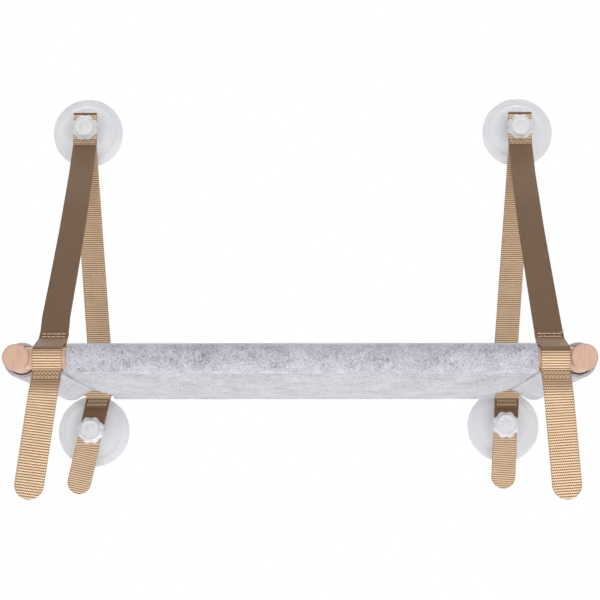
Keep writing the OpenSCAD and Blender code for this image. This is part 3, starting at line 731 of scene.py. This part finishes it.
class PERCH_OT_felt_cover(Operator):
    """Build the sagging felt bed and the four sleeves round the rails"""

    bl_idname = "perch.felt_cover"
    bl_label = "Felt Cover"

    def execute(self, context):
        self.bed()
        self.long_sleeves()
        self.side_sleeves()
        return {"FINISHED"}

    def bed(self):
        """The panel between the seams of the sleeves. It sags inside its sewn edges."""
        f, lay = sizes(), Layout()
        half_x = lay.side_x - f.side_seam_reach
        front_y = lay.front.axis.x + f.long_seam_reach
        rear_y = lay.rear.axis.x - f.long_seam_reach
        mid, half_y = (front_y + rear_y) / 2, (rear_y - front_y) / 2
        bm = strip(150, 100, f.felt_t)
        for v in bm.verts:
            x, y = (2 * v.co.x - 1) * half_x, front_y + (rear_y - front_y) * v.co.y
            side = 1 if v.co.z > 0 else -1
            share_x = min(abs(x) / (half_x - f.flap_lap), 1)
            share_y = min(abs(y - mid) / (half_y - f.flap_lap), 1)
            sag = f.sag_depth * (1 - share_x ** f.sag_flatness) * (1 - share_y ** 2)
            lump = bumpy(x * 18, y * 18, 3.1) * 0.5 * MM
            fuzz = bumpy(x * 260, y * 260, side) * 0.07 * MM
            v.co = (x, y, lump - sag - f.felt_t / 2 + side * (f.felt_t / 2 + fuzz))
        bed = new_piece("felt_bed_sheet", bm, "grey_felt")
        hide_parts("felt_bed")
        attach(bed, "frame")

    def long_sleeves(self):
        f, lay = sizes(), Layout()
        half = f.long_sleeve_length / 2
        run = self.girth_run(f.long_rail_d, f.long_sleeve_gap, f.long_seam_reach)
        fold = run.nearest(along((0, 0), math.radians(255), f.long_rail_d / 2 + f.felt_t))
        for name, axis, turn, phase in (("front", lay.front.axis, 1, 5.0), ("rear", lay.rear.axis, -1, 9.0)):
            self.sleeve(name, f"{name}_rail", run, (-half, half), phase, 260,
                        lambda at, p: (at + f.cover_shift, axis.x + turn * p.x, p.y), fold)

    def side_sleeves(self):
        f, lay = sizes(), Layout()
        run = self.girth_run(f.side_rail_d, f.side_sleeve_gap, f.side_seam_reach)
        ends = (lay.front.axis.x + f.side_sleeve_start, lay.rear.axis.x - f.side_sleeve_start)
        for name, side in SIDES.items():
            self.sleeve(name, f"{name}_side_rail", run, ends, 13.0 + side, 120,
                        lambda at, p: (side * (lay.side_x - p.x), at, p.y))

    def girth_run(self, rail_d, gap, seam):
        """Middle line of a sleeve about a rail's axis, with the bed at positive y."""
        f = sizes()
        radius = rail_d / 2 + gap + f.felt_t / 2
        top, low = Vector((seam, -f.felt_t / 2)), Vector((seam, -1.5 * f.felt_t))
        start = math.atan2(top.y, top.x) + math.acos(radius / top.length)
        end = math.atan2(low.y, low.x) - math.acos(radius / low.length) + 2 * math.pi
        return Run([top, *arc((0, 0), radius, start, end), low, low + Vector((f.flap_lap, 0))], ease=2.4 * MM)

    def sleeve(self, name, rail, run, ends, phase, rows, place, fold=None):
        """A felt sheet laid along a run and stretched between two ends of a rail; place(at, point) sets it there.
        A broken line of paler felt along a fold is a painted highlight."""
        f = sizes()
        bm = strip(max(6, round(run.length / (1.1 * MM))), rows, f.felt_t)
        fold_highlight = bm.verts.layers.float.new("fold_highlight")
        low, high = ends
        for v in bm.verts:
            reach, at = v.co.x * run.length, low + (high - low) * v.co.y
            side = 1 if v.co.z > 0 else -1
            point, way = run.at(reach)
            lump = bumpy(at * 28 + phase, reach * 34, phase) * 0.35 * MM
            fuzz = bumpy(at * 260, reach * 260, phase + side) * 0.07 * MM
            ragged = bumpy(reach * 90, phase, v.co.y * 3) * 0.35 * MM * abs(2 * v.co.y - 1) ** 8
            # A painted highlight: a broken line of paler felt along the fold
            if fold is not None:
                near = max(1 - abs(reach - fold) / (1.3 * MM), 0)
                v[fold_highlight] = near * min(max(0.35 + 1.6 * bumpy(at * 130, phase, 0.5), 0), 1)
            out = side * (f.felt_t / 2 + fuzz) + lump * math.sin(math.pi * v.co.x)
            v.co = place(at + ragged, point + across_way(way) * out)
        sleeve = new_piece(f"felt_{name}_tube", bm, "grey_felt")
        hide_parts(f"felt_{name}_sleeve")
        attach(sleeve, "frame")


class PERCH_OT_rear_straps(Operator):
    """Build the folds, rear straps, loops and tails at the window"""

    bl_idname = "perch.rear_straps"
    bl_label = "Rear Straps"

    def execute(self, context):
        s, lay = straps(), Layout()
        for name, side in SIDES.items():
            cup_z = lay.cup_place("lower", name).z
            hinge_z = cup_z - lay.seam_below_cup
            run, x_at = self.strap(name, side * s.strap_x, hinge_z + lay.pivot_gap)

            patch_run = Run(lay.round_rail(lay.rear, 1))
            seam_x = [(-s.lower_seam_start, side * s.strap_x), (lay.seam_top(lay.rear).y, side * s.strap_x)]
            patch_x = course((-0.05, lay.slant_x(name, -0.05)), *seam_x)
            patch = webbing(f"{name}_rear_patch", patch_run, patch_x, 0.9 * MM,
                            lambda reach, face: 0.9 if reach > patch_run.length - 11 * MM else 0.0)
            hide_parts(f"{name}_rear_loop_patch")
            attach(patch, "window_side")

            top_z, high = hinge_z + s.strap_t / 2, hinge_z + 10 * MM
            tail_run = Run([Vector((lay.inner_y, top_z)), Vector((lay.inner_y, cup_z - s.rear_tail_length))])
            tail_x = course((-0.2, lay.slant_x(name, -0.2)), (high, lay.slant_x(name, high)))
            tail = webbing(f"{name}_rear_tail_webbing", tail_run, tail_x, 0.5 * MM,
                           lambda reach, face: BACK_AND_SHADE_SHARE if face > 0 else 0.0, s.strap_w / 2, 8 * MM)
            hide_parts(f"{name}_rear_tail")
            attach(tail, f"{name}_rear_tail_body")

            bm = bmesh.new()
            sewing, end = Sewing(bm, patch_run, patch_x, -1), patch_run.length
            for low, high in REAR_ZIGZAGS:
                sewing.zigzag(end - low * MM, end - high * MM, 7, 21 * MM)
            sewing.zigzag(3 * MM, 8 * MM, 7, 21 * MM)
            Sewing(bm, run, x_at, 1).zigzag(1.0 * MM, 5.2 * MM, 8, 23 * MM)
            stitches = new_piece(f"{name}_rear_stitches", bm, "sewing_thread")
            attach(stitches, "window_side")
        return {"FINISHED"}

    def strap(self, name, loop_x, low_z):
        """The fold over the upper cup and the rear strap from there down to the lower cup."""
        s, c, lay = straps(), cups(), Layout()
        cup_x = SIDES[name] * c.upper_cup_x
        round_z, middle_y = lay.fold_top - lay.layer - s.strap_t / 2, (lay.inner_y + lay.outer_y) / 2
        x_at = course((low_z, lay.slant_x(name, low_z)), (-s.lower_seam_start, loop_x),
                      (lay.seam_top(lay.rear).y, loop_x), (lay.fold_bottom, cup_x), (lay.fold_top, cup_x))
        run = Run([lay.leg_bend, Vector((lay.outer_y, round_z)),
                   *reversed(arc((middle_y, round_z), lay.layer, 0, math.pi, 16)),
                   Vector((lay.inner_y, round_z)), lay.rear_bend, *lay.round_rail(lay.rear, -1)[:-1],
                   lay.lower_bend, Vector((lay.inner_y, low_z))], ease=0.8 * MM)
        top = run.nearest(Vector((middle_y, lay.fold_top)))
        nut_top = run.length - lay.seam_below_cup + lay.pivot_gap

        # How much brown shows: the smooth brown side inside the fold and on the window face; painted shade along the
        # top of the fold and just under the upper nut; and brown on the room face from 40 mm before the strap's end up
        # to the lower nut
        def brown_share(reach, face):
            if reach < top:
                if face < 0 or reach > top - 2.2 * MM:
                    return BACK_AND_SHADE_SHARE
                return FOLD_SHADE_SHARE if reach < 6.2 * MM else 0.0
            return BACK_AND_SHADE_SHARE if face > 0 or run.length - 40 * MM < reach < nut_top else 0.0

        strap = webbing(f"{name}_rear_webbing", run, x_at, 0.3 * MM, brown_share)
        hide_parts(f"{name}_strap_fold", f"{name}_rear_strap")
        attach(strap, "window_side")
        return run, x_at


class PERCH_OT_front_straps(Operator):
    """Build the front legs, loops and tails"""

    bl_idname = "perch.front_straps"
    bl_label = "Front Straps"

    def execute(self, context):
        s, lay = straps(), Layout()
        for name, side in SIDES.items():
            hang_x = side * s.strap_x + (s.right_strap_shift if side > 0 else 0)
            run, x_at = self.leg(name, hang_x)

            patch = webbing(f"{name}_front_patch", Run(lay.round_rail(lay.front, -1)), x_at, 1.1 * MM)
            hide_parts(f"{name}_front_loop_patch")
            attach(patch, "frame")
            self.tail(name, hang_x)

            bm = bmesh.new()
            sewing, end = Sewing(bm, run, x_at, -1), run.length
            rows = [run.nearest(along(lay.front.axis, lay.front.up, row * MM)) for row in LEG_ROWS]
            sewing.rows(rows)
            for low, high in FRONT_ZIGZAGS:
                sewing.zigzag(end - low * MM, end - high * MM, 7, 22 * MM)
            if side > 0:
                sewing.loose_end(rows[0])
            stitches = new_piece(f"{name}_front_stitches", bm, "sewing_thread")
            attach(stitches, "frame")
        return {"FINISHED"}

    def leg(self, name, hang_x):
        """The leg from the fold down to the front rail and round it. It bows inwards a little on the way."""
        side, lay = SIDES[name], Layout()
        top_z, top_x, seam_top = lay.fold_bottom, side * cups().upper_cup_x, lay.seam_top(lay.front)
        knots = [(top_z + (seam_top.y - top_z) * share, top_x + (hang_x - top_x) * share - side * bow * MM)
                 for share, bow in LEG_BOWS[name]]
        x_at = course(*sorted([*knots, (-1, hang_x), (seam_top.y, hang_x), (top_z, top_x)]))
        run = Run([lay.leg_bend - Vector((0, 0.2 * MM)), *lay.round_rail(lay.front, 1)])
        wrap = run.nearest(along(lay.front.axis, math.radians(WRAP_STARTS[name]), lay.loop_r))
        seam = run.nearest(along(lay.front.axis, lay.front.up, 30 * MM))

        # How much brown shows: none underneath; down the leg, paler towards the top as painted light; paler from the
        # seam to the rail as a painted sheen; none round the rail; painted shade along the seam below it
        def brown_share(reach, face):
            if face > 0:
                return 0.0
            if reach < seam:
                return LEG_SHARE - LEG_TOP_LIGHT * max(1 - reach / LEG_TOP_LIGHT_REACH, 0)
            if reach < wrap:
                return LEG_SEAM_SHEEN_SHARE
            return SEAM_SHADE[name] * min(max((reach - run.length + 12 * MM) / (2 * MM), 0), 1)

        leg = webbing(f"{name}_front_webbing", run, x_at, 0.2 * MM, brown_share)
        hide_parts(f"{name}_front_leg", f"{name}_front_loop")
        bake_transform(leg)
        return run, x_at

    def tail(self, name, hang_x):
        """The free end below the front rail: it leaves its seam at a slope and bends to straight down."""
        s, lay = straps(), Layout()
        down, bend_r = lay.front.down, s.front_tail_bend_r
        pivot = along(lay.front.axis, down, lay.lower_seam_end + lay.pivot_gap) + across(down, -lay.layer)
        centre = pivot + across(down, bend_r)
        lead = math.asin(s.strap_t / 2 / bend_r)
        bend = arc(centre, bend_r, math.pi - s.front_tail_kick - lead, math.pi, 24)
        run = Run([*bend, Vector((centre.x - bend_r, -s.front_tail_drop))])
        slope = getattr(s, f"{name}_front_tail_slope")
        x_at = course((-0.2, hang_x + SIDES[name] * math.tan(slope) * (pivot.y + 0.2)), (pivot.y, hang_x))

        # The smooth brown side on one face; on the other, painted shade by the seam, fading over the first 13 mm
        def brown_share(reach, face):
            return BACK_AND_SHADE_SHARE if face > 0 else SEAM_SHADE[name] * max(1 - reach / (13 * MM), 0)

        tail = webbing(f"{name}_front_tail_webbing", run, x_at, 0.7 * MM, brown_share, s.strap_w / 2, 30 * MM)
        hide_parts(f"{name}_front_tail")
        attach(tail, f"{name}_front_tail_body")


def set_on_stud(bm, place):
    """Turns a piece made along z to face the room, and moves it to its place."""
    bmesh.ops.rotate(bm, verts=bm.verts, cent=(0, 0, 0), matrix=Matrix.Rotation(math.pi / 2, 3, "X"))
    bmesh.ops.translate(bm, vec=place, verts=bm.verts)


def eased(points, radius=0.35 * MM, steps=4):
    """An outline with each of its corners rounded a little."""
    points = [Vector(point) for point in points]
    made = points[:1]
    for before, corner, after in zip(points, points[1:], points[2:]):
        ways = before - corner, after - corner
        reach = min(radius, *(way.length * 0.45 for way in ways))
        a, b = (corner + way.normalized() * reach for way in ways)
        made += [a.lerp(corner, t).lerp(corner.lerp(b, t), t) for t in (i / steps for i in range(steps + 1))]
    return made + points[-1:]


class PERCH_OT_suction_cups(Operator):
    """Turn the four suction cups with their necks and studs"""

    bl_idname = "perch.suction_cups"
    bl_label = "Suction Cups"

    def execute(self, context):
        outline, lay = eased(self.outline()), Layout()
        for level in ("upper", "lower"):
            for name in SIDES:
                cup = self.turned(f"{level}_{name}_suction_cup", outline, lay.cup_place(level, name))
                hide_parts(f"{level}_{name}_cup")
                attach(cup, "window_side")
        return {"FINISHED"}

    def outline(self):
        """(radius, height) from the middle of the hollow round the rim and up the flare to the stud's end."""
        c = cups()
        r, neck, stud_end = c.cup_d / 2, c.cup_neck_d / 2, c.cup_h + c.stud_length
        rim, slope, ring = c.cup_rim_t, c.cup_rim_t * 2.2, c.cup_rim_t * 2.45
        flare, inner = c.cup_h * 0.66, r * 0.76
        outline = [(share * r, depth * c.cup_hollow) for share, depth in CUP_HOLLOW]
        outline += [(r, 0), (r, rim), (r * 0.83, slope), (r * 0.81, ring), (r * 0.78, ring)]
        for i in range(49):
            a = math.pi / 2 * i / 48
            radius = inner + (neck - inner) * math.sin(a)
            lift = CUP_RING_LIFT * sum(math.exp(-((radius / r - at) / CUP_RING_WIDTH) ** 2) for at in CUP_RINGS)
            outline.append((radius, flare + (slope - flare) * math.cos(a) + lift))
        return outline + [(neck, c.cup_h), (c.stud_d / 2, c.cup_h), (c.stud_d / 2, stud_end), (0, stud_end)]

    def turned(self, name, outline, place):
        """A piece turned about the stud's axis from an outline."""
        bm = bmesh.new()
        verts = [bm.verts.new((radius, 0, height)) for radius, height in outline]
        edges = [bm.edges.new(pair) for pair in zip(verts, verts[1:])]
        bmesh.ops.spin(bm, geom=verts + edges, cent=(0, 0, 0), axis=(0, 0, 1), angle=2 * math.pi, steps=96,
                       use_merge=True)
        bmesh.ops.remove_doubles(bm, verts=bm.verts, dist=1e-6)
        set_on_stud(bm, place)
        return new_piece(name, bm, "milky_cup_plastic")


class PERCH_OT_finger_nuts(Operator):
    """Model the four lobed finger nuts"""

    bl_idname = "perch.finger_nuts"
    bl_label = "Finger Nuts"

    def execute(self, context):
        s, lay = straps(), Layout()
        for level, layer_y in (("upper", lay.outer_y), ("lower", lay.inner_y)):
            for name in SIDES:
                place = lay.cup_place(level, name)
                place.y = layer_y - s.strap_t / 2 - CLAMP_GAP
                nut = self.model(f"{level}_{name}_finger_nut", place)
                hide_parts(f"{level}_{name}_nut")
                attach(nut, f"{level}_{name}_nut_body")
        return {"FINISHED"}

    def rings(self):
        """(radius, height, depth of the lobes) of the flange, the collar, the dish and the boss in it, in turn."""
        c = cups()
        r, h, dish, depth = c.nut_d / 2, c.nut_h, c.nut_dish_d / 2, c.nut_dish_depth
        floor = h - depth
        rings = [(size * share, h * up + past * MM, lobe)
                 for size, table in ((r, NUT_FLANGE), (dish, NUT_COLLAR)) for share, up, past, lobe in table]
        rings += [(dish * 0.945, floor, 0.0), (dish * 0.9, floor, 0.06)]
        return rings + [(dish * share, floor + depth * NUT_BOSS_RISE * (1 - (share / NUT_BOSS_EDGE) ** 2), petal)
                        for share, petal in NUT_BOSS]

    def model(self, name, place):
        """A lobed knob with a round dish in front, in which a low petalled boss stands."""
        waves, rings = cups().nut_lobes, self.rings()
        bm = bmesh.new()
        start = bmesh.ops.create_circle(bm, cap_ends=False, radius=1.0, segments=waves * 16)["verts"]
        edges = list({e for v in start for e in v.link_edges})
        loops = [start]
        for _ in rings[1:]:
            made = bmesh.ops.extrude_edge_only(bm, edges=edges)["geom"]
            edges = [e for e in made if isinstance(e, bmesh.types.BMEdge)]
            loops.append([v for v in made if isinstance(v, bmesh.types.BMVert)])
        for verts, (radius, height, lobe) in zip(loops, rings):
            for v in verts:
                angle = math.atan2(v.co.y, v.co.x)
                dent = (0.5 - 0.5 * math.cos(waves * angle + math.pi)) ** 1.2
                reach = radius * (1 - lobe * dent)
                v.co = (reach * math.cos(angle), reach * math.sin(angle), height)
        bmesh.ops.contextual_create(bm, geom=edges)
        bmesh.ops.contextual_create(bm, geom=[e for e in bm.edges if e.is_boundary])
        set_on_stud(bm, place)
        return new_piece(name, bm, "milky_nut_plastic")


class PERCH_OT_stage(Operator):
    """Set up the floor, backdrop, lights and camera"""

    bl_idname = "perch.stage"
    bl_label = "Stage"

    def execute(self, context):
        scene = context.scene
        scene.view_settings.view_transform = "Standard"
        self.room(scene)
        self.floor(scene)
        for lamp in LAMPS:
            self.lamp(scene, *lamp)
        self.camera(scene)
        return {"FINISHED"}

    def room(self, scene):
        scene.world = bpy.data.worlds.new("pale_room")
        scene.world.use_nodes = True
        n = Nodes(scene.world.node_tree)
        strength = n.math("MULTIPLY_ADD", n.seen_rays(), 1 - ROOM_LIGHT, ROOM_LIGHT)
        n.fill(n.tree.nodes["Background"], {"Color": WHITE, "Strength": strength})

    def floor(self, scene):
        bm = bmesh.new()
        bmesh.ops.create_grid(bm, x_segments=1, y_segments=1, size=FLOOR_HALF)
        bmesh.ops.translate(bm, vec=(0, 0, FLOOR_Z), verts=bm.verts)
        mesh = bpy.data.meshes.new("floor")
        bm.to_mesh(mesh)
        bm.free()
        mesh.materials.append(material("pale_floor"))
        floor = bpy.data.objects.new("floor", mesh)
        scene.collection.objects.link(floor)

    def lamp(self, scene, name, place, size, power):
        light = bpy.data.lights.new(name, "AREA")
        light.size, light.energy = size, power
        lamp = bpy.data.objects.new(name, light)
        lamp.location = place
        lamp.rotation_euler = (Vector(LAMP_TARGET) - Vector(place)).to_track_quat("-Z", "Y").to_euler()
        scene.collection.objects.link(lamp)

    def camera(self, scene):
        camera = bpy.data.objects.new("photo_camera", bpy.data.cameras.new("photo_camera"))
        camera.data.sensor_width = CAMERA_SENSOR
        camera.data.lens = CAMERA_LENS
        camera.data.clip_end = CAMERA_FAR
        camera.location = [at * MM for at in CAMERA_PLACE]
        camera.rotation_euler = [math.radians(turn) for turn in CAMERA_TURN]
        scene.collection.objects.link(camera)
        scene.camera = camera


class PERCH_PT_panel(Panel):
    """Lists the steps that build the perch"""

    bl_label = "Cat Perch"
    bl_idname = "PERCH_PT_panel"
    bl_space_type = "VIEW_3D"
    bl_region_type = "UI"
    bl_category = "Perch"

    def draw(self, context):
        for step in STEPS:
            self.layout.operator(step.bl_idname)
        for group in GROUPS:
            settings = getattr(context.scene, group)
            box = self.layout.box()
            for name in settings.__annotations__:
                box.prop(settings, name)


STEPS = (PERCH_OT_stage, PERCH_OT_wood_frame, PERCH_OT_suction_cups, PERCH_OT_finger_nuts, PERCH_OT_rear_straps,
         PERCH_OT_front_straps, PERCH_OT_felt_cover)
GROUPS = {"perch_frame_sizes": PerchFrameSizes, "perch_strap_sizes": PerchStrapSizes,
          "perch_cup_sizes": PerchCupSizes, "perch_colours": PerchColours}


def register():
    for name, group in GROUPS.items():
        bpy.utils.register_class(group)
        setattr(bpy.types.Scene, name, PointerProperty(type=group))
    for step in (*STEPS, PERCH_PT_panel):
        bpy.utils.register_class(step)


def unregister():
    for step in reversed((*STEPS, PERCH_PT_panel)):
        bpy.utils.unregister_class(step)
    for name, group in GROUPS.items():
        delattr(bpy.types.Scene, name)
        bpy.utils.unregister_class(group)


def main():
    register()
    bpy.ops.perch.stage()
    bpy.ops.perch.wood_frame()
    bpy.ops.perch.suction_cups()
    bpy.ops.perch.finger_nuts()
    bpy.ops.perch.rear_straps()
    bpy.ops.perch.front_straps()
    bpy.ops.perch.felt_cover()


if __name__ == "__main__":
    main()
